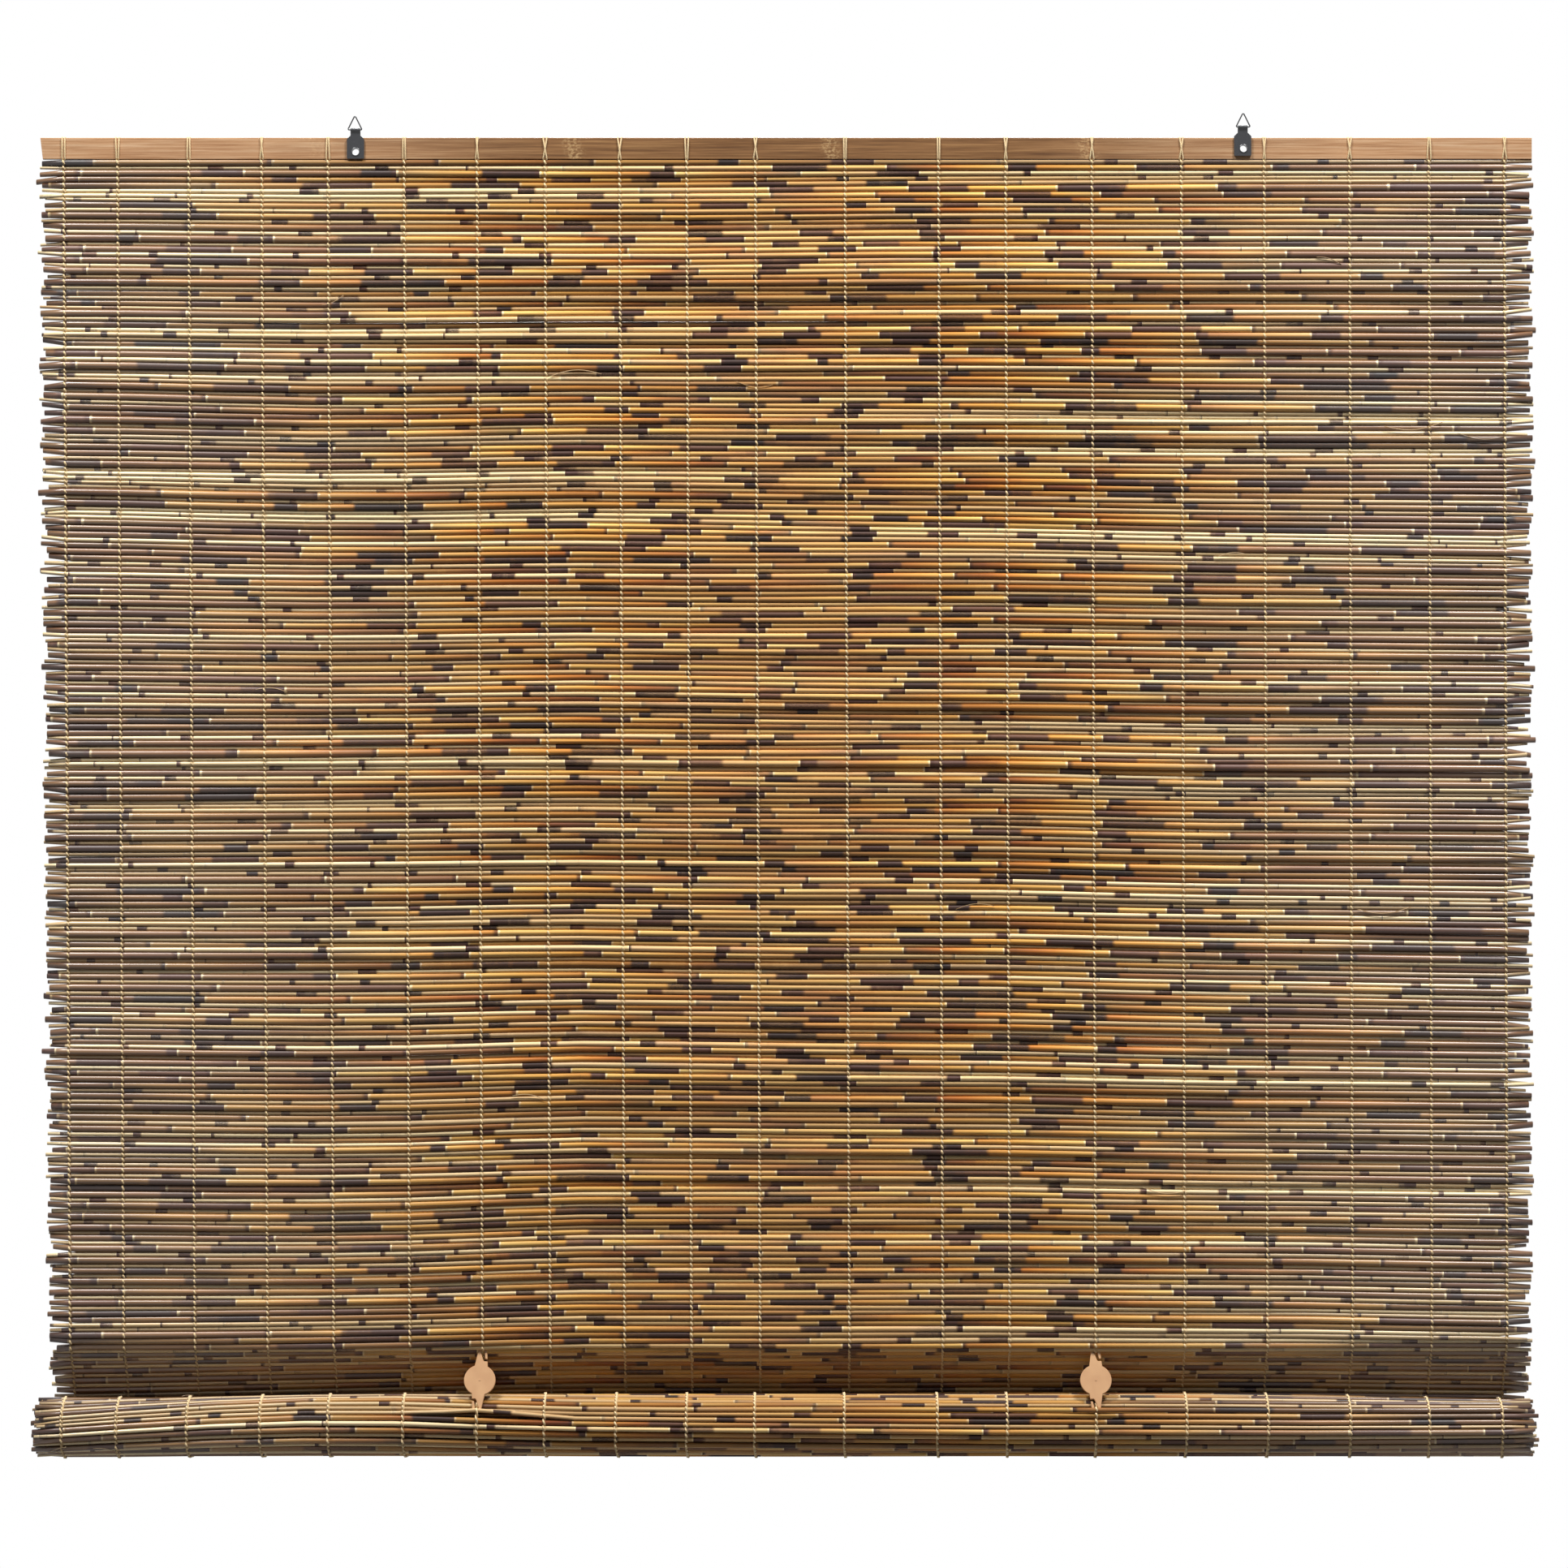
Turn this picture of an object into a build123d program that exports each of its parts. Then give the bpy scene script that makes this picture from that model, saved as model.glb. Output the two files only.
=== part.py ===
from build123d import *
from math import asin, ceil, cos, hypot, pi, radians, sin, sqrt
import os

# Roll-up reed blind, let down and half rolled: head slat, reed mat, warp cords, hangers and roll clips.
# Millimetres. X runs along the slat, -Y faces the room, +Z is up.
# The origin is the middle of the head slat's back face.

# Head slat
slat_length = 1800.0
slat_height = 26.0
slat_thick = 6.0
slat_edge_round = 0.8
slat_end_skew = 3.0  # the left end is sawn a little out of square

# Reed mat
reed_pitch = 6.46
mat_thick = 6.0
valley_wall = 2.6  # thickness of the wall between two reeds
reed_flat = 3.0  # width of the flat that stands for a reed's crown
hang_reeds = 222
bend_reeds = 16
mat_top_gap = 0.3
left_edge_top = 2.5  # from the slat's left end to the reeds' ends
left_edge_low = 14.0
right_edge = 1.5
gap_height = 1.0  # a slit between two reeds, every second one
gap_share = 0.36  # of the width is one slit's row
gap_fill = 0.9  # of its row is open

# Roll
roll_radius = 41.2  # where the mat meets the roll, to the reeds' crowns
roll_back = 8.0  # how far its middle hangs behind the mat's own middle
roll_drop = 92.5  # from the bend in the mat down to the roll's middle
turn_gap = 0.5
roll_turns = 3.56
roll_left_proud = 3.5  # past the slat's ends
roll_right_proud = 1.0

# Bottom slat, in the roll's core
bottom_slat_height = 24.0
bottom_slat_thick = 5.0
core_sink = 0.2  # its corners lie a little inside the circle through the crowns, between two of them

# Warp cords
cord_width = 1.8
cord_thick = 1.0
cord_clearance = 0.06
cord_spacings = [28, 65, 86, 88, 80, 92, 88, 82, 90, 81, 83, 108, 113, 81, 104, 108, 100, 103, 96, 91]
cord_right_inset = 33.0  # from the last cord to the slat's right end
cord_drift_left = 8.0  # the cords lean to the right on their way down, most at the left
cord_drift_right = 3.5
roll_shift = [0, 1, 0, 0, 2, 0, 1, 0, -4, 0, -1, -1, -2, 1, 4, 5, 3, -1, -2, -5]
cord_front_stop = 20.0  # height over the roll's middle where a front strand goes between the turns
cord_last_turn = radians(310)
cord_step = radians(24)
cord_bend_steps = 5

# Hangers
hanger_left_from_cord = 33.5  # plate's middle from the cord at its left
hanger_right_from_cord = -26.0  # and from the cord at its right
left_hanger_cord_index = 4
right_hanger_cord_index = 16
hanger_left_rise = -0.7  # plate's middle over the slat's middle
hanger_right_rise = 2.8
plate_width = 20.8
plate_height = 23.5
plate_corner = 1.2
neck_width = 12.0
shoulder_height = 4.3
leaf_thick = 1.0
eye_rise = 11.2  # from the plate's top edge to the ring wire's middle
joggle_rise = 3.0
joggle_start = 0.6

# Rings
wire_radius = 0.8
wire_clearance = 0.08
ring_half_base = 8.65
ring_height = 17.4
ring_base_bend = 1.0
ring_top_bend = 1.2
ring_left_shift = -0.6
ring_right_shift = 0.5

# Eyelets
eyelet_bore_radius = 4.25
eyelet_wall = 0.5
eyelet_clearance = 0.05
eyelet_rim_radius = 5.3
eyelet_rim_thick = 0.7
eyelet_back_radius = 6.2
eyelet_back_thick = 0.6
left_hole_drop = 3.6  # below the plate's middle
right_hole_drop = 3.1
right_hole_shift = 1.0  # the right hole is punched a little off the plate's middle

# Roll clips
clip_disc_radius = 19.0
clip_thick = 3.0
clip_eye_reach = 34.6  # from the disc's middle to either hook's eye
clip_eye_radius = 2.2
clip_bow = 3.6  # plastic past the eye
clip_arm_foot = 8.2
clip_arm_tip = 5.6
clip_slot_width = 2.2
clip_slot_length = 11.0
clip_slot_lean = 2.9
clip_slot_mouth = 2.0
clip_edge_bevel = 0.5
clip_pip_radius = 1.2
clip_pip_height = 0.35
clip_clearance = 0.4
clip_over_roll = 1.8  # clip's mid-plane over the reeds' crowns at the lower eye
clip_below_bend = 6.3  # upper eye under the bend in the mat
left_clip_cord_index = 6
right_clip_cord_index = 14
strand_run = 3.6  # over which a clipped strand rises from the reeds to the clip's bow
strand_settle = 8.0  # and over which it lies down again past the eye
strand_slack = 0.3
strand_eye_slack = 0.1
strand_margin = 5.0  # the strand's other corners stay this far from these
eye_share = 0.7  # how far across the eye the strand goes through

# Worked out from the sizes above
mat_mid_y = -slat_thick / 2
half_thick = mat_thick / 2
mat_top_z = -slat_height / 2 - mat_top_gap
hang_length = hang_reeds * reed_pitch
bend_z = mat_top_z - hang_length
roll_y = mat_mid_y + roll_back
roll_z = bend_z - roll_drop
coil_start = roll_radius - half_thick  # radius of the wall's middle where the roll begins
turn_pitch = mat_thick + turn_gap
bend_across = roll_back + coil_start
bend_radius = (bend_across ** 2 + roll_drop ** 2) / (2 * bend_across)
bend_angle = asin(roll_drop / bend_radius)
bend_length = bend_radius * bend_angle
coil_angle = 2 * pi * roll_turns
coil_length = coil_start * coil_angle - turn_pitch * coil_angle ** 2 / (4 * pi)
coil_reeds = round(coil_length / reed_pitch)
left_end = -slat_length / 2
right_end = slat_length / 2
strand_clear = clip_eye_radius + clip_bow + clip_clearance + strand_run + strand_margin


def point_at(y, z, angle, offset):
    """A point offset from the wall's middle, towards the wall's back, where the wall leans by angle."""
    return y + offset * cos(angle), z + offset * sin(angle)


def hanging(s):
    """Middle of the wall s below the mat's top edge: straight down, a sharp bend, then back along one arc."""
    if abs(s - hang_length) < reed_pitch / 8:
        return mat_mid_y, bend_z, bend_angle / 2
    if s < hang_length:
        return mat_mid_y, mat_top_z - s, 0.0
    angle = bend_angle - (s - hang_length) / bend_radius
    arc_y = roll_y + coil_start - bend_radius
    return arc_y + bend_radius * cos(angle), roll_z + bend_radius * sin(angle), angle


def coil_radius(turned):
    """Radius of the wall's middle in the roll, after turning by this angle from where it begins."""
    return coil_start - turn_pitch * turned / (2 * pi)


def coiled(turned):
    """Middle of the wall in the roll: a spiral that runs down the back, under and up the front."""
    radius = coil_radius(turned)
    return roll_y + radius * cos(turned), roll_z - radius * sin(turned), -turned


def coil_turn(s):
    """The angle turned after s along the spiral, from s = r0 a - p a^2 / (4 pi)."""
    return (coil_start - sqrt(coil_start ** 2 - turn_pitch * s / pi)) * 2 * pi / turn_pitch


def ridged_outline(places, pitches, flat_side):
    """Closed outline of a ridged wall. places maps s to the wall's middle, pitches lists the reeds' widths.

    The side that shows, -1 in front or 1 behind, has flat crowns. The other has plain ridges.
    """
    flat = []
    plain = []
    s = 0.0
    for pitch in pitches:
        valley = places(s)
        flat.append(point_at(*valley, flat_side * valley_wall / 2))
        plain.append(point_at(*valley, -flat_side * valley_wall / 2))
        for along in ((pitch - reed_flat) / 2, (pitch + reed_flat) / 2):
            flat.append(point_at(*places(s + along), flat_side * half_thick))
        plain.append(point_at(*places(s + pitch / 2), -flat_side * half_thick))
        s += pitch
    flat.append(point_at(*places(s), flat_side * valley_wall / 2))
    plain.append(point_at(*places(s), -flat_side * valley_wall / 2))
    return flat + plain[::-1]


def along_x(outline, x_start, x_stop):
    """A closed YZ outline made into a solid between two X places."""
    face = make_face(Polyline(*[(x_start, y, z) for y, z in outline], close=True))
    return extrude(face, amount=x_stop - x_start, dir=(1, 0, 0))


def cord_places():
    """X of each cord: at the slat, at the bend in the mat, and on the roll. They spread over the slat."""
    places = []
    top = left_end
    spread = (slat_length - cord_right_inset) / sum(cord_spacings)
    for spacing, shift in zip(cord_spacings, roll_shift):
        top += spacing * spread
        share = (top - left_end) / slat_length
        low = top + cord_drift_left + (cord_drift_right - cord_drift_left) * share
        places.append((top, low, top + shift))
    return places


def hook_turn(eye_y, eye_z):
    """Turned angle on the roll where the clip's lower eye lands, found by halving: its distance is known."""
    low = pi * 0.8
    high = pi * 1.45
    for _ in range(40):
        turned = (low + high) / 2
        y, z = hook_point(turned)
        if hypot(y - eye_y, z - eye_z) > 2 * clip_eye_reach:
            low = turned
        else:
            high = turned
    return turned


def hook_point(turned):
    """Where the clip's mid-plane stands over the roll's crowns."""
    y, z, angle = coiled(turned)
    return point_at(y, z, angle, half_thick + clip_over_roll)


def upper_eye():
    """YZ of the clip's upper eye, on the front strand just under the bend."""
    offset = half_thick + cord_thick / 2
    s = (clip_below_bend - offset * sin(bend_angle)) / cos(bend_angle)
    y, z, angle = hanging(hang_length + s)
    return point_at(y, z, angle, -offset)


def clip_plane(low_x, roll_x):
    """Plane of a clip that hangs from the mat's cord and holds the roll's: normal to the room, Y along it."""
    eye_y, eye_z = upper_eye()
    hook_y, hook_z = hook_point(hook_turn(eye_y, eye_z))
    upper = Vector(low_x, eye_y, eye_z)
    lower = Vector(roll_x, hook_y, hook_z)
    up = (upper - lower).normalized()
    side = (Vector(1, 0, 0) - up * up.X).normalized()
    return Plane(origin=(upper + lower) / 2, x_dir=side, z_dir=side.cross(up))


def head_slat():
    """Flat lath with rounded long edges, one end sawn out of square, bored for the eyelets."""
    half = slat_height / 2
    outline = Polyline(
        (left_end, 0, half),
        (right_end, 0, half),
        (right_end, 0, -half),
        (left_end + slat_end_skew, 0, -half),
        close=True,
    )
    slat = extrude(make_face(outline), amount=slat_thick, dir=(0, -1, 0))
    slat = fillet(slat.edges().filter_by(Axis.X), slat_edge_round)
    for x, z in hole_places():
        bore = Cylinder(eyelet_bore_radius + eyelet_wall + eyelet_clearance, slat_thick * 3)
        slat -= Pos(x, -slat_thick / 2, z) * Rot(90, 0, 0) * bore
    return slat


def plate_places():
    """X and Z of each plate's middle."""
    cords = cord_places()
    return (
        (cords[left_hanger_cord_index][0] + hanger_left_from_cord, hanger_left_rise),
        (cords[right_hanger_cord_index][0] + hanger_right_from_cord, hanger_right_rise),
    )


def hole_places():
    """X and Z of each eyelet."""
    (left_x, left_z), (right_x, right_z) = plate_places()
    return (left_x, left_z - left_hole_drop), (right_x + right_hole_shift, right_z - right_hole_drop)


def eye_place(plate_z):
    """Y and Z of the middle of the ring's base wire."""
    return -slat_thick - leaf_thick - wire_radius - wire_clearance, plate_z + plate_height / 2 + eye_rise


def hanger_plate(plate_x, plate_z, hole):
    """Steel strip folded over the ring's wire: a joggled front leaf on a flat back leaf, then the plate."""
    eye_y, eye_z = eye_place(plate_z)
    inner = wire_radius + wire_clearance
    outer = inner + leaf_thick
    bottom = plate_z - plate_height / 2
    back = -slat_thick
    front = back - 2 * leaf_thick
    joggle_run = eye_y - outer - front
    joggle = hypot(joggle_run, joggle_rise)
    # The inner slant runs one leaf inside the outer slant.
    shift_y = leaf_thick * joggle_rise / joggle
    shift_z = -leaf_thick * joggle_run / joggle
    slope = joggle_rise / -joggle_run
    slant_y = eye_y - outer + shift_y
    slant_z = eye_z - joggle_start + shift_z
    knee_z = slant_z - slope * (eye_y - inner - slant_y)
    tip_z = slant_z - slope * (back - leaf_thick - slant_y)
    skin = [
        Line((0, back, eye_z), (0, back, bottom)),
        Line((0, back, bottom), (0, front, bottom)),
        Line((0, front, bottom), (0, front, eye_z - joggle_start - joggle_rise)),
        Line((0, front, eye_z - joggle_start - joggle_rise), (0, eye_y - outer, eye_z - joggle_start)),
        Line((0, eye_y - outer, eye_z - joggle_start), (0, eye_y - outer, eye_z)),
        ThreePointArc((0, eye_y - outer, eye_z), (0, eye_y, eye_z + outer), (0, back, eye_z)),
    ]
    eye = [
        ThreePointArc((0, back - leaf_thick, eye_z), (0, eye_y, eye_z + inner), (0, eye_y - inner, eye_z)),
        Line((0, eye_y - inner, eye_z), (0, eye_y - inner, knee_z)),
        Line((0, eye_y - inner, knee_z), (0, back - leaf_thick, tip_z)),
        Line((0, back - leaf_thick, tip_z), (0, back - leaf_thick, eye_z)),
    ]
    side = make_face(Wire(skin)) - make_face(Wire(eye))
    strip = extrude(side, amount=plate_width / 2, dir=(1, 0, 0), both=True)
    half = plate_width / 2
    neck = neck_width / 2
    top = plate_z + plate_height / 2
    deep = 4 * slat_thick
    sheet = make_face(Polyline(
        (-half, -deep, bottom),
        (half, -deep, bottom),
        (half, -deep, top),
        (neck, -deep, top + shoulder_height),
        (neck, -deep, eye_z + 2 * outer),
        (-neck, -deep, eye_z + 2 * outer),
        (-neck, -deep, top + shoulder_height),
        (-half, -deep, top),
        close=True,
    ))
    corners = sheet.vertices().sort_by(Axis.Z)[0:2]
    sheet = fillet(corners, plate_corner)
    strip = strip & extrude(sheet, amount=2 * deep, dir=(0, 1, 0))
    bore = Cylinder(eyelet_bore_radius + eyelet_wall + eyelet_clearance, 6 * leaf_thick)
    hole_x, hole_z = hole
    return Pos(plate_x, 0, 0) * strip - Pos(hole_x, back, hole_z) * Rot(90, 0, 0) * bore


def hanger_ring(x, plate_z):
    """Triangle of round wire, its base lying in the plate's eye."""
    eye_y, eye_z = eye_place(plate_z)
    path = FilletPolyline(
        (x - ring_half_base, eye_y, eye_z),
        (x + ring_half_base, eye_y, eye_z),
        (x, eye_y, eye_z + ring_height),
        radius=[ring_base_bend, ring_base_bend, ring_top_bend],
        close=True,
    )
    section = Plane(origin=path @ 0, z_dir=path % 0) * Circle(wire_radius)
    return sweep(section, path=path)


def hanger_eyelet(hole):
    """Hollow rivet through the plate and the slat, with a rolled rim on each side."""
    bore = eyelet_bore_radius
    barrel = bore + eyelet_wall
    front = -slat_thick - 2 * leaf_thick
    section = make_face(Polyline(
        (bore, front - eyelet_rim_thick),
        (barrel, front - eyelet_rim_thick),
        (eyelet_rim_radius, front - eyelet_rim_thick / 2),
        (eyelet_rim_radius, front),
        (barrel, front),
        (barrel, 0),
        (eyelet_back_radius, 0),
        (eyelet_back_radius, eyelet_back_thick / 2),
        (barrel, eyelet_back_thick),
        (bore, eyelet_back_thick),
        close=True,
    ))
    return Pos(hole[0], 0, hole[1]) * revolve(section, Axis.Y)


def wall_gaps(count):
    """Slits between the reeds, every second one, in three staggered rows so that the wall stays whole."""
    left = left_end + left_edge_low
    width = slat_length - left_edge_low - right_edge
    slits = []
    for index in range(count):
        share = (index % 3) * (1 - gap_share) / 2
        middle = left + width * (share + gap_share / 2)
        z = mat_top_z - (2 * index + 2) * reed_pitch
        slits.append(Pos(middle, mat_mid_y, z) * Box(width * gap_share * gap_fill, 2 * mat_thick, gap_height))
    return slits


def reed_mat(clip_planes):
    """Hanging part of the mat: one ridged wall, bent back above the roll, slit between the reeds."""
    pitches = [reed_pitch] * hang_reeds + [bend_length / bend_reeds] * bend_reeds
    wall = along_x(ridged_outline(hanging, pitches, -1), left_end + left_edge_top, right_end - right_edge)
    deep = mat_thick + 2 * (roll_back + roll_radius)
    wedge = make_face(Polyline(
        (left_end, -deep, mat_top_z),
        (left_end + left_edge_top, -deep, mat_top_z),
        (left_end + left_edge_low, -deep, roll_z - mat_thick),
        (left_end, -deep, roll_z - mat_thick),
        close=True,
    ))
    cutters = wall_gaps((hang_reeds - 2) // 2)
    cutters.append(extrude(wedge, amount=2 * deep, dir=(0, 1, 0)))
    cutters += [clip_pocket(plane) for plane in clip_planes]
    return wall - cutters


def reed_roll(clip_planes):
    """Rolled part of the mat: the ridged wall in a spiral, open between its turns."""
    pitches = [coil_length / coil_reeds] * coil_reeds
    outline = ridged_outline(lambda s: coiled(coil_turn(s)), pitches, 1)
    roll = along_x(outline, left_end - roll_left_proud, right_end + roll_right_proud)
    return roll - [clip_pocket(plane) for plane in clip_planes]


def bottom_slat():
    """Lath that stiffens the mat's lower edge, lying in the bottom of the roll's core."""
    half = bottom_slat_height / 2
    front_room = coil_radius(coil_angle - radians(50)) - half_thick
    back_room = coil_radius(coil_angle - radians(170)) - half_thick
    room = (front_room + back_room) / 2 + core_sink
    y = roll_y + (back_room - front_room) / 2
    z = roll_z - sqrt(room ** 2 - half ** 2)
    slat = Box(slat_length, bottom_slat_height, bottom_slat_thick)
    slat = fillet(slat.edges().filter_by(Axis.X), slat_edge_round)
    return Pos(0, y, z + bottom_slat_thick / 2) * slat


def cord_corners(x, near, far):
    """Corners of a cord's section: near and far are its YZ points on the reeds' side and on the outside."""
    half = cord_width / 2
    return [(x - half, *near), (x + half, *near), (x + half, *far), (x - half, *far)]


def on_wall(place, side, lift=0.0, widen=1.0):
    """Near and far YZ points of a cord on one side of the wall: side is -1 in front, 1 behind."""
    y, z, angle = place
    near = (half_thick + cord_clearance + lift) * widen
    far = near + cord_thick
    return point_at(y, z, angle, side * near), point_at(y, z, angle, side * far)


def cord_route(top_x, low_x, roll_x, hook=None):
    """Stations of a cord: up the front, over the slat, down the back and round the roll."""
    stations = []
    stop = bend_radius * asin(cord_front_stop / bend_radius)
    for index in range(cord_bend_steps):
        s = hang_length + (bend_length - stop) * (1 - index / cord_bend_steps)
        stations.append((low_x, *on_wall(hanging(s), -1)))
    corner = hanging(hang_length)
    miter = 1 / cos(bend_angle / 2)
    stations.append((low_x, *on_wall(corner, -1, widen=miter)))
    lift = cord_clearance + slat_thick / 2
    reach = lift + cord_thick
    top = slat_height / 2 + cord_clearance
    for side in (-1, 0, 1):
        near = (mat_mid_y + side * lift, top)
        far = (mat_mid_y + side * reach, top + cord_thick)
        stations.append((top_x, near, far))
    step = bend_angle / cord_bend_steps
    round_bend = (bend_radius + half_thick) * (1 / cos(step / 2) - 1)
    stations.append((low_x, *on_wall(corner, 1, lift=round_bend, widen=miter)))
    for index in range(1, cord_bend_steps):
        s = hang_length + bend_length * index / cord_bend_steps
        stations.append((low_x, *on_wall(hanging(s), 1, lift=round_bend)))
    count = ceil(cord_last_turn / cord_step)
    spread = coil_start * (1 / cos(cord_last_turn / count / 2) - 1)
    for index in range(count + 1):
        turned = cord_last_turn * index / count
        share = min(1.0, turned / pi)
        x = low_x + (roll_x - low_x) * share
        if hook is None or abs(turned - hook) * coil_start > strand_clear:
            stations.append((x, *on_wall(coiled(turned), 1, lift=spread)))
        if hook is not None and abs(turned + cord_last_turn / count / 2 - hook) < cord_last_turn / count / 2:
            stations += hook_stations(roll_x, hook)
    return stations


def hook_stations(x, hook):
    """A cord's stations over a clip's lower bow and down through its eye onto the reeds behind it."""
    rise = clip_over_roll + clip_thick / 2 + cord_clearance
    end = clip_eye_radius + clip_bow + clip_clearance
    marks = (
        (-end - strand_run, strand_slack),
        (-end, rise - clip_edge_bevel),
        (-clip_eye_radius, rise),
        (clip_eye_radius * eye_share, strand_eye_slack),
        (clip_eye_radius + strand_settle, strand_slack),
    )
    stations = []
    for along, lift in marks:
        turned = hook + along / coil_start
        stations.append((x, *on_wall(coiled(turned), 1, lift=lift)))
    return stations


def warp_cord(stations):
    """A cord's solid: flat-sided runs between the sections at its stations."""
    rings = [cord_corners(x, near, far) for x, near, far in stations]
    faces = [Face(Wire.make_polygon(rings[0])), Face(Wire.make_polygon(rings[-1]))]
    for ring, following in zip(rings, rings[1:]):
        for index, corner in enumerate(ring):
            across = following[(index + 1) % 4]
            faces.append(Face(Wire.make_polygon([corner, ring[(index + 1) % 4], across])))
            faces.append(Face(Wire.make_polygon([corner, across, following[index]])))
    return Solid(Shell(faces))


def clip_half(filled):
    """Upper arm, bow and tooth of a clip, in its own plane. The lower half is the same, turned round."""
    reach = clip_eye_reach
    tip = reach + clip_eye_radius + clip_bow
    foot = clip_disc_radius * 0.8
    edge = Wire([
        Line((-clip_arm_foot, foot), (-clip_arm_tip, reach)),
        ThreePointArc((-clip_arm_tip, reach), (0, tip), (clip_arm_tip, reach)),
        Line((clip_arm_tip, reach), (clip_arm_foot, foot)),
        Line((clip_arm_foot, foot), (-clip_arm_foot, foot)),
    ])
    arm = make_face(edge)
    if filled:
        return arm
    return arm - clip_slot()


def clip_slot():
    """The eye, and the slot that leads a cord in from the side."""
    reach = clip_eye_reach
    half = clip_slot_width / 2
    low = reach - clip_slot_length + clip_slot_mouth
    throat = make_face(Polyline(
        (-clip_eye_radius, reach),
        (clip_eye_radius, reach),
        (clip_slot_lean + half, low + clip_slot_mouth / 2),
        (clip_slot_lean - half, low - clip_slot_mouth / 2),
        close=True,
    ))
    mouth = make_face(Polyline(
        (clip_slot_lean - half, low - clip_slot_mouth / 2),
        (clip_slot_lean + half, low + clip_slot_mouth / 2),
        (2 * clip_arm_foot, low + clip_slot_mouth / 2 - 0.6),
        (2 * clip_arm_foot, low - clip_slot_mouth / 2 - 0.6),
        (clip_slot_lean, low - clip_slot_mouth),
        close=True,
    ))
    return Pos(0, reach) * Circle(clip_eye_radius) + throat + mouth


def clip_outline(filled=False):
    """Disc with a hook at each end."""
    half = clip_half(filled)
    return Circle(clip_disc_radius) + half + Rot(0, 0, 180) * half


def roll_clip(plane):
    """Flat moulded clip with bevelled edges and a small pip in the middle."""
    body = extrude(clip_outline(), amount=clip_thick / 2, both=True)
    rim = body.faces().sort_by(Axis.Z)[-1].edges()
    body = chamfer(rim, clip_edge_bevel)
    pip = Pos(0, 0, (clip_thick + clip_pip_height) / 2) * Cylinder(clip_pip_radius, clip_pip_height)
    return plane.location * (body + pip)


def clip_pocket(plane):
    """Room for a clip's hooks where they reach in among the reeds."""
    outline = offset(clip_outline(filled=True), clip_clearance)
    return plane.location * extrude(outline, amount=clip_thick / 2 + clip_clearance, both=True)


def save(name, shape):
    """Writes one node and says how large it is."""
    box = shape.bounding_box()
    print(f"{name}: {shape.volume:.0f} mm3, {box.size.X:.1f} x {box.size.Y:.1f} x {box.size.Z:.1f}")
    export_step(shape, f"parts/{name}.step")


def main():
    os.makedirs("parts", exist_ok=True)
    cords = cord_places()
    hook = hook_turn(*upper_eye())
    clipped = {"left": left_clip_cord_index, "right": right_clip_cord_index}
    planes = {side: clip_plane(cords[index][1], cords[index][2]) for side, index in clipped.items()}

    save("head_slat", head_slat())
    save("reed_mat", reed_mat(list(planes.values())))
    save("reed_roll", reed_roll(list(planes.values())))
    save("bottom_slat", bottom_slat())
    for index, (top_x, low_x, roll_x) in enumerate(cords):
        stations = cord_route(top_x, low_x, roll_x, hook if index in clipped.values() else None)
        save(f"warp_cord_{index + 1:02d}", warp_cord(stations))
    shifts = (ring_left_shift, ring_right_shift)
    for side, (x, z), hole, shift in zip(("left", "right"), plate_places(), hole_places(), shifts):
        save(f"hanger_plate_{side}", hanger_plate(x, z, hole))
        save(f"hanger_ring_{side}", hanger_ring(x + shift, z))
        save(f"hanger_eyelet_{side}", hanger_eyelet(hole))
    for side, plane in planes.items():
        save(f"roll_clip_{side}", roll_clip(plane))


main()
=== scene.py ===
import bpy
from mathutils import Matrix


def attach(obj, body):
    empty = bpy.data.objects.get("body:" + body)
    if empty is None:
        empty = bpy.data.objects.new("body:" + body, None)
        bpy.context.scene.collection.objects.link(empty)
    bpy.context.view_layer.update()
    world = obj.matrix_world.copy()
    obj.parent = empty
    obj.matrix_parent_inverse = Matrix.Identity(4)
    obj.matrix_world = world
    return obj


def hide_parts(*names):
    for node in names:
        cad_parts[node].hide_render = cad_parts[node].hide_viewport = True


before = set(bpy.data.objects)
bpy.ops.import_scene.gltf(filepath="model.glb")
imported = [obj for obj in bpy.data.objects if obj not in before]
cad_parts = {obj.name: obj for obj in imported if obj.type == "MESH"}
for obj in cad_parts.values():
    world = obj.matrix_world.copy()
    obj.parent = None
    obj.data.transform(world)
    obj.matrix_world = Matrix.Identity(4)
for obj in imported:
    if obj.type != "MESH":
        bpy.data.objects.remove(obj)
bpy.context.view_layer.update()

from functools import partial
from math import asin, pi, radians

import bpy
import numpy as np
from mathutils import Vector

# A roll-up blind of natural reeds on twined cotton cords, let down and half rolled.
# Sizes are millimetres, in the blind's own frame: X along the slat, -Y to the room, Z up.
# A place down the mat, s, is measured along it from its top edge.
MM = 0.001

SLAT_LENGTH = 1800.0
SLAT_HALF_LENGTH = SLAT_LENGTH / 2
SLAT_HALF_HEIGHT = 13.0
SLAT_THICK = 6.0

# The mat hangs straight, bends back in one arc, and goes on into the roll as a spiral.
REED_PITCH = 6.46
MAT_Y = -3.0
MAT_TOP = -13.3
HANG = 222 * REED_PITCH
ROLL_Y = 5.0
ROLL_DROP = 92.5
ROLL_Z = MAT_TOP - HANG - ROLL_DROP
ROLL_RADIUS = 41.2
COIL_START = 38.2
COIL_TURNS = 3.56
TURN_PITCH = 6.5
BEND_ACROSS = ROLL_Y - MAT_Y + COIL_START
BEND_RADIUS = (BEND_ACROSS ** 2 + ROLL_DROP ** 2) / (2 * BEND_ACROSS)
BEND_ANGLE = asin(ROLL_DROP / BEND_RADIUS)
BEND = BEND_RADIUS * BEND_ANGLE
ROLL_START = HANG + BEND

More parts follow.
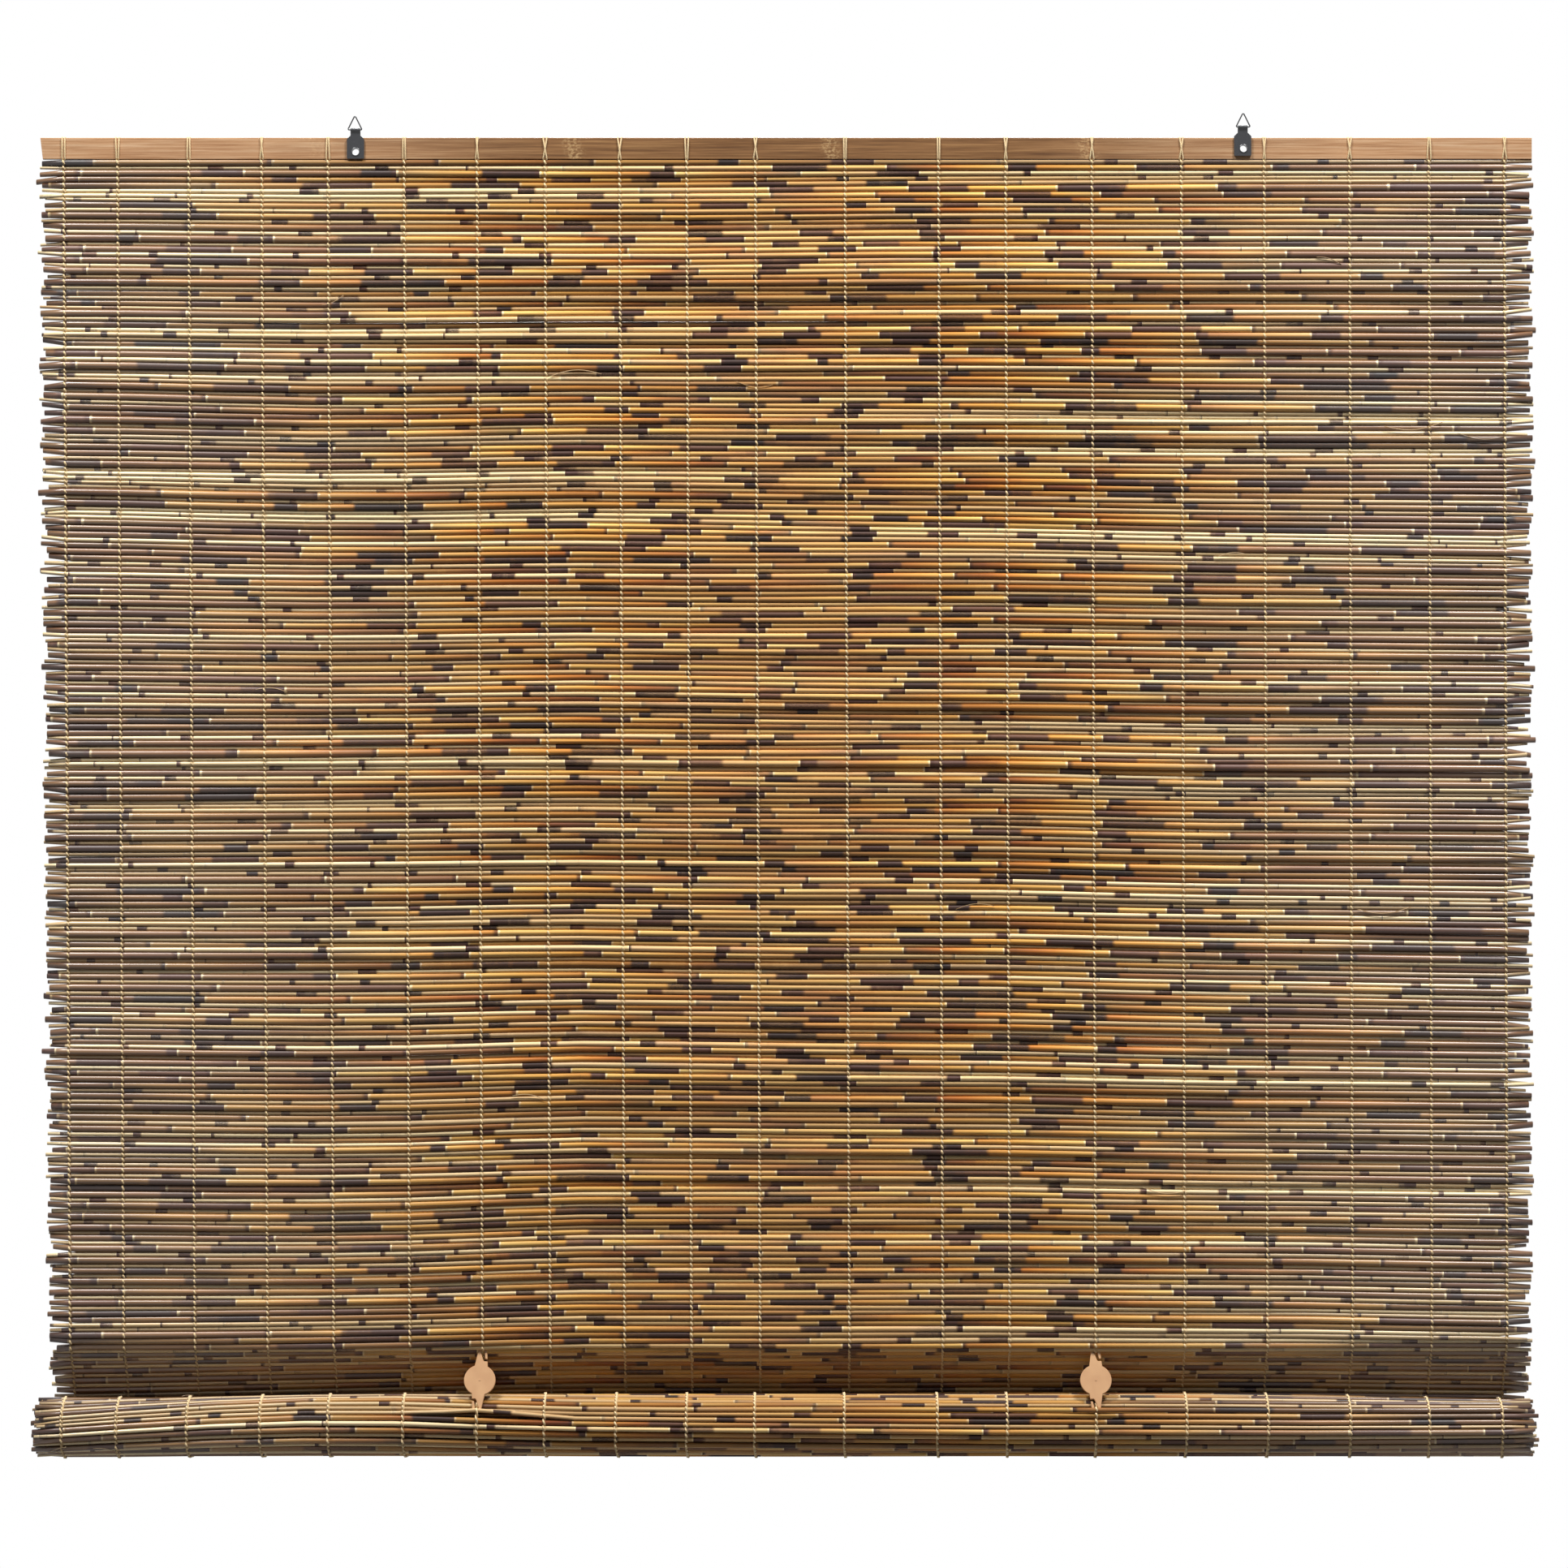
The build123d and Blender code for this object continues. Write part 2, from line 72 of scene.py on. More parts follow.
MAT_REEDS = 238
REEDS = MAT_REEDS + 92
BUTT_RADIUS = 3.95
TIP_THINNER = 1.45
BUTT_NODE_GAP = 190.0
TIP_NODE_CLOSER = 105.0
REED_SIDES = 8

CORD_SPACINGS = [28, 65, 86, 88, 80, 92, 88, 82, 90, 81,
                 83, 108, 113, 81, 104, 108, 100, 103, 96, 91]
CORD_ROLL_SHIFT = [0, 1, 0, 0, 2, 0, 1, 0, -4, 0, -1, -1, -2, 1, 4, 5, 3, -1, -2, -5]
CORDS = len(CORD_SPACINGS)
CORD_TURN_REEDS = 37
CLIP_CORDS = (6, 14)
CLIP_HOOK_TURN = radians(214.69)

STRAND_SIDES = 5
STRAND_RADIUS = 0.9
STRAND_SWELL = 0.5
STRAND_SWAY = 1.1
STRAND_OFF_REED = 0.8
LOOP_RADIUS = 1.0
LOOP_OFF_SLAT = 0.7

rng = np.random.default_rng(11)


# Shapes


def coil_length(angle):
    """Length of the roll's spiral up to an angle: the angle times the mean of its two radii."""
    return COIL_START * angle - TURN_PITCH * angle ** 2 / (4 * pi)


MAT_LENGTH = ROLL_START + coil_length(2 * pi * COIL_TURNS)
CLIP_HOOK = ROLL_START + coil_length(CLIP_HOOK_TURN)


def smooth_rise(value, start, stop):
    """0 before start, 1 after stop, and 3t^2 - 2t^3 of the share t between them."""
    share = np.clip((value - start) / (stop - start), 0, 1)
    return share * share * (3 - 2 * share)


def plain_path(s):
    """Y and Z of the mat's middle: straight down, one arc back, then a spiral.

    The spiral's radius shrinks evenly with its angle. The square root finds the angle from the
    length run, since that length is a square of the angle.
    """
    bend_lean = BEND_ANGLE - (s - HANG) / BEND_RADIUS
    run = np.maximum(s - ROLL_START, 0)
    root = np.sqrt(np.maximum(COIL_START ** 2 - TURN_PITCH * run / pi, 1))
    turned = (COIL_START - root) * 2 * pi / TURN_PITCH
    radius = COIL_START - TURN_PITCH * turned / (2 * pi)
    parts = [s < HANG, s < ROLL_START]
    arc_y = ROLL_Y + COIL_START - BEND_RADIUS
    y = np.select(parts, [MAT_Y + 0 * s, arc_y + BEND_RADIUS * np.cos(bend_lean)],
                  ROLL_Y + radius * np.cos(turned))
    z = np.select(parts, [MAT_TOP - s, ROLL_Z + BEND_RADIUS * np.sin(bend_lean)],
                  ROLL_Z - radius * np.sin(turned))
    return y, z


def mat_path(s, x):
    """The plain path made soft at the bend, with thinner ends of the roll.

    It is the mean of five places on the plain path, weighted 1, 2, 3, 2 and 1, over a window
    that falls off as a bell curve from the bend's top and widens from 3 to 24 mm at the mat's
    sides. There the roll also shrinks by up to 8.5 % towards its lowest line.
    """
    side = smooth_rise(np.abs(x), 480, SLAT_HALF_LENGTH)
    bell_width = 48
    window = (3 + 21 * side) * np.exp(-((s - HANG) / bell_width) ** 2)
    y = 0
    z = 0
    for step, weight in ((-1, 1 / 9), (-0.5, 2 / 9), (0, 3 / 9), (0.5, 2 / 9), (1, 1 / 9)):
        step_y, step_z = plain_path(s + step * window)
        y = y + weight * step_y
        z = z + weight * step_z
    thinner = 0.085 * side * np.clip((s - HANG) / BEND, 0, 1) ** 2
    y = ROLL_Y + (y - ROLL_Y) * (1 - thinner)
    z = ROLL_Z - ROLL_RADIUS * thinner + (z - ROLL_Z) * (1 - thinner)
    return y, z


def path_frame(s, x):
    """Place on the path, and the unit directions along it and across it, each as Y and Z.

    Along is the chord between two near places. Across is square to it, towards the mat's back,
    which is the roll's outside.
    """
    near = 0.8
    y, z = mat_path(s, x)
    y_next, z_next = mat_path(s + near, x)
    y_last, z_last = mat_path(s - near, x)
    along = np.stack([y_next - y_last, z_next - z_last], -1)
    along /= np.linalg.norm(along, axis=-1, keepdims=True)
    across = np.stack([-along[..., 1], along[..., 0]], -1)
    return np.stack([y, z], -1), along, across


def smooth_noise(rows, share, knots):
    """Rows of noise over shares from 0 to 1: random values at knots, joined by raised cosines."""
    values = rng.standard_normal((rows, knots + 1))
    place = np.minimum(share * knots, knots - 1e-6)
    cell = place.astype(int)
    blend = (1 - np.cos(pi * (place - cell))) / 2
    return values[:, cell] * (1 - blend) + values[:, cell + 1] * blend


def wound(s, x):
    """Place down the mat with the roll's slant.

    To the left, reeds come round the roll up to 20 mm later, by the square of the share gone
    past the last 430 mm. To the right they come up to 5 mm sooner, in a smooth rise.
    """
    left = 1 - np.clip((x + 905) / 430, 0, 1)
    slant = 5 * smooth_rise(x, 500, 950) - 20 * left ** 2
    return s + slant * smooth_rise(s, ROLL_START + 5, ROLL_START + 75)


# Meshes


def tube_uv(count, stations, sides):
    """UV of every corner of closed tubes: walls first, then the caps at start and stop.

    U is the share along a tube. V gives each tube a strip of its own, and its caps are small
    discs above that strip.
    """
    tube = np.arange(count)[:, None, None]
    station = np.arange(stations - 1)[None, :, None]
    side = np.arange(sides)[None, None, :]
    flat = np.zeros((count, stations - 1, sides))
    u_low = flat + 0.002 + 0.996 * station / (stations - 1)
    u_high = flat + 0.002 + 0.996 * (station + 1) / (stations - 1)
    v_low = (flat + tube + 0.02 + 0.84 * side / sides) / count
    v_high = (flat + tube + 0.02 + 0.84 * (side + 1) / sides) / count
    corners = [(u_low, v_low), (u_low, v_high), (u_high, v_high), (u_high, v_low)]
    walls = np.stack([np.stack(corner, -1) for corner in corners], 3)
    angle = 2 * pi * np.arange(sides) / sides
    disc = np.stack([0.004 * np.cos(angle), 0.04 * np.sin(angle) / count], -1)
    cap_start = np.stack([np.full(count, 0.01), (np.arange(count) + 0.94) / count], -1)
    cap_stop = cap_start + [0.02, 0]
    caps = np.concatenate([cap_start[:, None] + disc[::-1], cap_stop[:, None] + disc])
    return np.concatenate([walls.reshape(-1, 2), caps.reshape(-1, 2)])


def add_tubes(name, rings, material, attributes=None, smooth_caps=False):
    """A mesh of closed tubes from rings[tube, station, side].

    A wall face joins two neighbours on a ring to the same two on the next ring, and a cap is
    the whole of a tube's first or last ring.
    """
    count, stations, sides = rings.shape[:3]
    index = np.arange(count * stations * sides).reshape(count, stations, sides)
    turn = np.roll(index, -1, axis=2)
    walls = np.stack([index[:, :-1], turn[:, :-1], turn[:, 1:], index[:, 1:]], -1).reshape(-1, 4)
    caps = np.concatenate([index[:, 0, ::-1], index[:, -1]]).reshape(-1, sides)
    corners = np.concatenate([walls.ravel(), caps.ravel()])
    starts = np.concatenate([np.arange(len(walls)) * 4, walls.size + np.arange(len(caps)) * sides])
    smooth = np.ones(len(starts), bool)
    smooth[len(walls):] = smooth_caps

    mesh = bpy.data.meshes.new(name)
    mesh.vertices.add(rings.size // 3)
    mesh.vertices.foreach_set("co", (rings * MM).astype(np.float32).ravel())
    mesh.loops.add(len(corners))
    mesh.loops.foreach_set("vertex_index", corners.astype(np.int32))
    mesh.polygons.add(len(starts))
    mesh.polygons.foreach_set("loop_start", starts.astype(np.int32))
    mesh.polygons.foreach_set("use_smooth", smooth)
    mesh.update(calc_edges=True)

    layer = mesh.uv_layers.new(name="OFBake")
    layer.data.foreach_set("uv", tube_uv(count, stations, sides).astype(np.float32).ravel())
    for label, values in (attributes or {}).items():
        data = mesh.attributes.new(label, "FLOAT_VECTOR", "POINT")
        data.data.foreach_set("vector", values.astype(np.float32).ravel())
    mesh.validate()
    mesh.materials.append(material)
    piece = bpy.data.objects.new(name, mesh)
    bpy.context.scene.collection.objects.link(piece)
    return piece


# Materials


def linear(code):
    """An sRGB hex code as linear red, green, blue and alpha, by the sRGB curve."""
    levels = [int(code[k:k + 2], 16) / 255 for k in (1, 3, 5)]
    return [v / 12.92 if v <= 0.04045 else ((v + 0.055) / 1.055) ** 2.4 for v in levels] + [1.0]


def cells(*sizes):
    """A pattern's scale in X, Y and Z: how many of its cells, of these millimetres, fill a metre."""
    return [round(1000 / size) for size in sizes]


def feed(made, inputs):
    """Gives a node's inputs, by name or number, a value, a hex colour or a socket to read."""
    for label, value in inputs.items():
        if isinstance(value, bpy.types.NodeSocket):
            made.id_data.links.new(value, made.inputs[label])
        else:
            made.inputs[label].default_value = linear(value) if isinstance(value, str) else value


def node(tree, kind, inputs=None, output=0, stops=(), **settings):
    """Adds one node with its settings and links, and gives one of its outputs.

    stops are the places and hex colours along a ramp. settings are the node's own properties.
    """
    made = tree.nodes.new("ShaderNode" + kind)
    for label, value in settings.items():
        setattr(made, label, value)
    feed(made, inputs or {})
    if stops:
        elements = made.color_ramp.elements
        while len(elements) < len(stops):
            elements.new(0.5)
        for element, (place, code) in zip(elements, stops):
            element.position = place
            element.color = linear(code)
    return made.outputs[output]


# What many nodes share: a smooth rise from input 1 to input 2, and two colours, inputs 6 and 7,
# that are mixed or multiplied by the share in input 0
RISE = {"interpolation_type": "SMOOTHSTEP"}
BLEND = {"data_type": "RGBA", "output": 2}
TINT = {"data_type": "RGBA", "output": 2, "blend_type": "MULTIPLY"}


def new_material(name):
    """A material, what adds nodes to it, and the shader that its output already shows."""
    material = bpy.data.materials.new(name)
    material.use_nodes = True
    tree = material.node_tree
    return material, partial(node, tree), tree.nodes["Principled BSDF"]


def reed_material():
    """Common reed, dried and peeled: waxy and half glossy, from cream to brown between two nodes.

    Dull rests of dark sheath stay at some nodes. The attribute stem holds the count of nodes
    from the butt, the stem's own number, and the share from butt to tip. White noise on the
    first two gives each stem, and each stretch between its nodes, chances of its own.
    """
    material, add, shader = new_material("dried_common_reed")
    stem = add("Attribute", output="Vector", attribute_name="stem")
    count, number, share = add("SeparateXYZ", {0: stem}).node.outputs
    place = add("TexCoord", output="Object")

    # Fibres 71 mm long. Real ones are finer, and these are 1.1 mm across, to show.
    fibre = add("Mapping", {"Vector": place, "Scale": cells(71.4, 1.111, 1.111)})
    fibre = add("TexNoise", {"Vector": fibre, "Scale": 1.0, "Detail": 3.0})

    # Patches of about a reed's thickness
    cloud = add("Mapping", {"Vector": place, "Scale": cells(62.5, 6.67, 6.67)})
    cloud = add("TexNoise", {"Vector": cloud, "Scale": 1.0, "Detail": 2.0})
    ragged = add("Math", {0: cloud, 1: 0.12, 2: -0.06}, operation="MULTIPLY_ADD")

    between = add("Math", {0: count}, operation="FRACT")
    joint = add("Math", {0: count}, operation="FLOOR")
    stretch_key = add("CombineXYZ", {0: joint, 1: number})
    chance = add("TexWhiteNoise", {"Vector": stretch_key}, output="Color")
    chance_dark, chance_patch, chance_tone = add("SeparateColor", {0: chance}).node.outputs
    stem_key = add("CombineXYZ", {0: 7.5, 1: number, 2: 3.5})
    chance = add("TexWhiteNoise", {"Vector": stem_key}, output="Color")
    stem_tone, stem_hue, stem_dark = add("SeparateColor", {0: chance}).node.outputs

    # Between two nodes the stem goes from cream through gold to brown, some stretches further.
    thin = add("MapRange", {0: share, 1: 0.35, 2: 0.8}, **RISE)
    depth = add("MapRange", {0: chance_dark, 3: 0.15, 4: 1.05})
    shallow = add("Math", {0: thin, 1: 0.55}, operation="MULTIPLY")
    shallow = add("Math", {0: 1.0, 1: shallow}, operation="SUBTRACT")
    depth = add("Math", {0: depth, 1: shallow}, operation="MULTIPLY")
    along = add("Math", {0: between, 1: 1.5}, operation="POWER")
    along = add("Math", {0: along, 1: ragged}, operation="ADD")
    brown = add("Math", {0: along, 1: depth}, operation="MULTIPLY")
    darker = add("Math", {0: stem_dark, 1: 0.16}, operation="MULTIPLY")
    brown = add("Math", {0: brown, 1: darker}, operation="ADD")
    colour = add("ValToRGB", {0: brown}, stops=[
        (0.0, "#F8D584"), (0.2, "#E4AA54"), (0.42, "#C37C36"), (0.66, "#8D4C24"), (0.9, "#48251B")])
    tint = add("ValToRGB", {0: stem_hue}, stops=[
        (0.0, "#F3CF7E"), (0.3, "#DDA34A"), (0.55, "#CA762E"), (0.8, "#9A8046"), (1.0, "#96502A")])
    colour = add("Mix", {0: 0.34, 6: colour, 7: tint}, **BLEND)

    # Paler towards the sides: painted light, from lamps that stand off to both sides, not the stems'
    # own colour. The specular level is raised there too, for the same lamps' highlights.
    x = add("SeparateXYZ", {0: place})
    sides = add("Math", {0: x}, operation="ABSOLUTE")
    sides = add("MapRange", {0: sides, 1: 0.3, 2: 0.85}, **RISE)
    painted_light = add("Math", {0: sides, 1: 0.42}, operation="MULTIPLY")
    colour = add("Mix", {0: painted_light, 6: colour, 7: "#F6E0B0"}, **BLEND)

    # The butt's end is purple-brown, on some stems for longer.
    longer = add("Math", {0: stem_tone, 1: 1.5}, operation="POWER")
    longer = add("Math", {0: longer, 1: -0.27}, operation="MULTIPLY")
    uneven = add("Math", {0: ragged, 1: 0.3}, operation="MULTIPLY")
    butt = add("Math", {0: share, 1: uneven}, operation="ADD")
    butt = add("Math", {0: butt, 1: longer}, operation="ADD")
    butt = add("MapRange", {0: butt, 1: 0.0, 2: 0.07}, **RISE)
    butt = add("Math", {0: 1.0, 1: butt}, operation="SUBTRACT")
    butt = add("Math", {0: butt, 1: 0.82}, operation="MULTIPLY")
    butt_colour = add("ValToRGB", {0: stem_hue}, stops=[
        (0.0, "#4A2A20"), (0.5, "#68443A"), (1.0, "#7E5A42")])
    colour = add("Mix", {0: butt, 6: colour, 7: butt_colour}, **BLEND)

    # A rest of dark sheath ends sharply at the node, and is shorter on thin stems.
    reach = add("MapRange", {0: chance_patch, 1: 0.24, 2: 1.0, 3: 0.0, 4: 0.62})
    shorter = add("Math", {0: thin, 1: 0.6}, operation="MULTIPLY")
    shorter = add("Math", {0: 1.0, 1: shorter}, operation="SUBTRACT")
    reach = add("Math", {0: reach, 1: shorter}, operation="MULTIPLY")
    uneven = add("Math", {0: ragged, 1: 0.25}, operation="MULTIPLY")
    reach = add("Math", {0: reach, 1: uneven}, operation="ADD")
    edge = add("Math", {0: 1.0, 1: reach}, operation="SUBTRACT")
    sheath = add("Math", {0: between, 1: edge}, operation="SUBTRACT")
    sheath = add("MapRange", {0: sheath, 1: 0.0, 2: 0.035}, **RISE)
    sheath_colour = add("ValToRGB", {0: chance_tone}, stops=[
        (0.0, "#2E211E"), (0.45, "#45302A"), (0.8, "#5E4138"), (1.0, "#7B5A48")])
    colour = add("Mix", {0: sheath, 6: colour, 7: sheath_colour}, **BLEND)

    # At the node: a dark line under a pale ring. The pale ring is a painted highlight on the node's
    # ridge.
    line = add("MapRange", {0: between, 1: 0.955, 2: 0.985}, **RISE)
    line_share = add("Math", {0: line, 1: 0.75}, operation="MULTIPLY")
    colour = add("Mix", {0: line_share, 6: colour, 7: "#4A2C22"}, **BLEND)
    ring = add("MapRange", {0: between, 1: 0.008, 2: 0.02}, **RISE)
    ring = add("Math", {0: 1.0, 1: ring}, operation="SUBTRACT")
    painted_node_highlight = add("Math", {0: ring, 1: 0.65}, operation="MULTIPLY")
    colour = add("Mix", {0: painted_node_highlight, 6: colour, 7: "#FBEBC0"}, **BLEND)

    # Thin stems are straw-coloured, but for their sheaths.
    straw = add("Math", {0: sheath, 1: 0.75}, operation="MULTIPLY")
    straw = add("Math", {0: 0.75, 1: straw}, operation="SUBTRACT")
    straw = add("Math", {0: thin, 1: straw}, operation="MULTIPLY")
    colour = add("Mix", {0: straw, 6: colour, 7: "#FBEBC2"}, **BLEND)
    fibre_tone = add("ValToRGB", {0: fibre}, stops=[(0.28, "#C9AD88"), (0.62, "#FFFFFF")])
    colour = add("Mix", {0: 0.4, 6: colour, 7: fibre_tone}, **TINT)

    # The reeds at the roll's top are toned down, since these lamps stand steeper than the
    # photo's.
    top_turn = add("MapRange", {0: number, 1: 256.0, 2: 260.0}, **RISE)
    top_turn = add("Math", {0: top_turn, 1: 0.5}, operation="MULTIPLY")
    colour = add("Mix", {0: top_turn, 6: colour, 7: "#8A6A48"}, **TINT)
    stem_light = add("ValToRGB", {0: stem_tone}, stops=[
        (0.0, "#6A4C36"), (0.34, "#CDB698"), (0.62, "#FFFFFF")])
    colour = add("Mix", {0: 0.72, 6: colour, 7: stem_light}, **TINT)

    rough = add("MapRange", {0: cloud, 1: 0.3, 2: 0.7, 3: 0.27, 4: 0.37})
    dull = add("Math", {0: sheath, 1: 0.15}, operation="MULTIPLY")
    rough = add("Math", {0: rough, 1: dull}, operation="ADD")
    # Specular level raised towards the sides, for the side lamps' highlights
    shine = add("Math", {0: sides, 1: 0.4, 2: 0.24}, operation="MULTIPLY_ADD")
    height = add("Math", {0: line, 1: ring}, operation="ADD")
    height = add("Math", {0: fibre, 1: 0.25, 2: height}, operation="MULTIPLY_ADD")
    bump = add("Bump", {"Strength": 0.5, "Distance": 0.0004, "Height": height})
    feed(shader, {"Base Color": colour, "Roughness": rough, "Specular IOR Level": shine,
                  "Normal": bump})
    return material


def cotton_material():
    """Twined cotton, unbleached: dull soft cream, with slanting plies 1.2 mm apart.

    The plies are bands of a wave across cells that are turned, and the fuzz is 0.6 mm coarse.
    Real fuzz is finer. It is drawn this coarse to show.
    """
    material, add, shader = new_material("cotton_twine")
    place = add("TexCoord", output="Object")
    ply = add("Mapping", {"Vector": place, "Scale": cells(1.429, 1.429, 1.111),
                          "Rotation": (0, 0.6, 0)})
    ply = add("TexWave", {"Vector": ply, "Scale": 0.32, "Distortion": 1.2}, output=1,
              bands_direction="Z")
    fuzz = add("Mapping", {"Vector": place, "Scale": cells(0.5556, 0.5556, 0.5556)})
    fuzz = add("TexNoise", {"Vector": fuzz, "Scale": 1.0, "Detail": 3.0})
    # The ramp is darkest in the grooves between plies, where the bump is lowest: painted shade in
    # the grooves.
    colour = add("ValToRGB", {0: ply}, stops=[(0.0, "#CFA768"), (0.5, "#F2D8A2"), (1.0, "#FBE8C2")])
    fuzz_share = add("Math", {0: fuzz, 1: 0.45}, operation="MULTIPLY")
    colour = add("Mix", {0: fuzz_share, 6: colour, 7: "#E6C795"}, **BLEND)
    height = add("Math", {0: fuzz, 1: 0.5, 2: ply}, operation="MULTIPLY_ADD")
    bump = add("Bump", {"Strength": 0.6, "Distance": 0.0003, "Height": height})
    feed(shader, {"Base Color": colour, "Roughness": 0.85, "Sheen Weight": 0.25,
                  "Sheen Roughness": 0.5, "Normal": bump})
    return material


def slat_material():
    """Bamboo lath, planed and lightly varnished: brown with long fibres and a satin gloss.

    Its fibres are 125 mm long and 2.4 mm high, with finer ones in them, and broad tones are
    9 mm high. Pale speckles of 2.4 to 3.8 mm lie at each node.
    """
    material, add, shader = new_material("varnished_bamboo_lath")
    place = add("TexCoord", output="Object")
    fibre = add("Mapping", {"Vector": place, "Scale": cells(125, 3.333, 2.381)})
    fibre = add("TexNoise", {"Vector": fibre, "Scale": 1.0, "Detail": 5.0, "Roughness": 0.7})
    broad = add("Mapping", {"Vector": place, "Scale": cells(111, 16.67, 9.09)})
    broad = add("TexNoise", {"Vector": broad, "Scale": 1.0, "Detail": 3.0})
    speckle = add("Mapping", {"Vector": place, "Scale": cells(3.846, 3.333, 2.381)})
    speckle = add("TexNoise", {"Vector": speckle, "Scale": 1.0, "Detail": 3.0})
    x, _, z = add("SeparateXYZ", {0: place}).node.outputs

    # The lath's nodes stand about 310 mm apart and lean a little.
    lean = add("Math", {0: broad, 1: 0.016}, operation="MULTIPLY")
    lean = add("Math", {0: z, 1: 0.22, 2: lean}, operation="MULTIPLY_ADD")
    off = add("Math", {0: x, 1: lean}, operation="ADD")
    off = add("Math", {0: off, 1: 1 / 0.31, 2: 0.30}, operation="MULTIPLY_ADD")
    off = add("Math", {0: off}, operation="FRACT")
    off = add("Math", {0: off, 1: 0.5}, operation="SUBTRACT")
    off = add("Math", {0: off}, operation="ABSOLUTE")
    scar = add("MapRange", {0: off, 1: 0.004, 2: 0.05}, **RISE)
    scar = add("Math", {0: 1.0, 1: scar}, operation="SUBTRACT")
    line = add("MapRange", {0: off, 1: 0.001, 2: 0.006}, **RISE)
    line = add("Math", {0: 1.0, 1: line}, operation="SUBTRACT")
    colour = add("ValToRGB", {0: fibre}, stops=[
        (0.32, "#452B15"), (0.5, "#7E5834"), (0.68, "#AE8456")])
    broad_tone = add("ValToRGB", {0: broad}, stops=[(0.34, "#634022"), (0.66, "#9C7149")])
    colour = add("Mix", {0: 0.35, 6: colour, 7: broad_tone}, **BLEND)
    speckle = add("MapRange", {0: speckle, 1: 0.42, 2: 0.62}, **RISE)
    speckle = add("Math", {0: scar, 1: speckle}, operation="MULTIPLY")
    speckle = add("Math", {0: speckle, 1: 0.6}, operation="MULTIPLY")
    colour = add("Mix", {0: speckle, 6: colour, 7: "#D2AE7C"}, **BLEND)
    line = add("Math", {0: line, 1: 0.35}, operation="MULTIPLY")
    colour = add("Mix", {0: line, 6: colour, 7: "#6E4A2C"}, **BLEND)

    # Paler towards both ends: painted light, from lamps that stand off to both sides.
    painted_light = add("ValToRGB", {0: fibre}, stops=[
        (0.32, "#B07F58"), (0.5, "#D6A67C"), (0.68, "#F0CBA4")])
    painted_light = add("Mix", {0: 0.25, 6: painted_light, 7: broad_tone}, **BLEND)
    ends = add("Math", {0: x}, operation="ABSOLUTE")
    ends = add("MapRange", {0: ends, 1: 0.24, 2: 0.7}, **RISE)
    ends = add("Math", {0: ends, 1: 0.92}, operation="MULTIPLY")
    colour = add("Mix", {0: ends, 6: colour, 7: painted_light}, **BLEND)
    bump = add("Bump", {"Strength": 0.35, "Distance": 0.0003, "Height": fibre})
    feed(shader, {"Base Color": colour, "Roughness": 0.5, "Specular IOR Level": 0.3,
                  "Normal": bump})
    return material


def steel_material():
    """Sheet steel and wire, dipped in black enamel: smooth, with a soft highlight at each bend.

    The dip leaves ripples 1.1 mm wide.
    """
    material, add, shader = new_material("black_enamelled_steel")
    place = add("TexCoord", output="Object")
    ripple = add("Mapping", {"Vector": place, "Scale": cells(1.111, 1.111, 1.111)})
    ripple = add("TexNoise", {"Vector": ripple, "Scale": 1.0, "Detail": 2.0})
    colour = add("ValToRGB", {0: ripple}, stops=[(0.3, "#232427"), (0.7, "#303135")])
    rough = add("MapRange", {0: ripple, 1: 0.3, 2: 0.7, 3: 0.28, 4: 0.4})
    bump = add("Bump", {"Strength": 0.15, "Distance": 0.0002, "Height": ripple})
    feed(shader, {"Base Color": colour, "Roughness": rough, "IOR": 1.55, "Normal": bump})
    return material


def plastic_material():
    """Injection-moulded tan polypropylene: an even colour with a satin grain and faint flow marks.

    The grain is 0.7 mm wide, coarser than a mould's, to show, and the flow marks are 18 mm.
    """
    material, add, shader = new_material("moulded_tan_polypropylene")
    place = add("TexCoord", output="Object")
    grain = add("Mapping", {"Vector": place, "Scale": cells(0.7143, 0.7143, 0.7143)})
    grain = add("TexNoise", {"Vector": grain, "Scale": 1.0, "Detail": 2.0})
    flow = add("Mapping", {"Vector": place, "Scale": cells(18.18, 18.18, 18.18)})
    flow = add("TexNoise", {"Vector": flow, "Scale": 1.0, "Detail": 1.0})
    colour = add("ValToRGB", {0: flow}, stops=[(0.3, "#B98C63"), (0.7, "#C4986D")])
    grain_share = add("Math", {0: grain, 1: 0.12}, operation="MULTIPLY")
    colour = add("Mix", {0: grain_share, 6: colour, 7: "#D6B084"}, **BLEND)
    bump = add("Bump", {"Strength": 0.12, "Distance": 0.0002, "Height": grain})
    feed(shader, {"Base Color": colour, "Roughness": 0.42, "Normal": bump})
    return material


# The reeds

# Shares of a reed's length, closer together near the two clips
STATIONS = np.array([
    0, 0.016, 0.06, 0.12, 0.18, 0.24, 0.272, 0.293, 0.314, 0.36, 0.43, 0.5,
    0.57, 0.64, 0.686, 0.707, 0.728, 0.79, 0.85, 0.92, 0.981, 1.0])

cord_top = -SLAT_HALF_LENGTH + np.cumsum(CORD_SPACINGS)
cord_share = (cord_top + SLAT_HALF_LENGTH) / SLAT_LENGTH
cord_low = cord_top + 8 - 4.5 * cord_share
cord_roll = cord_top + np.array(CORD_ROLL_SHIFT)


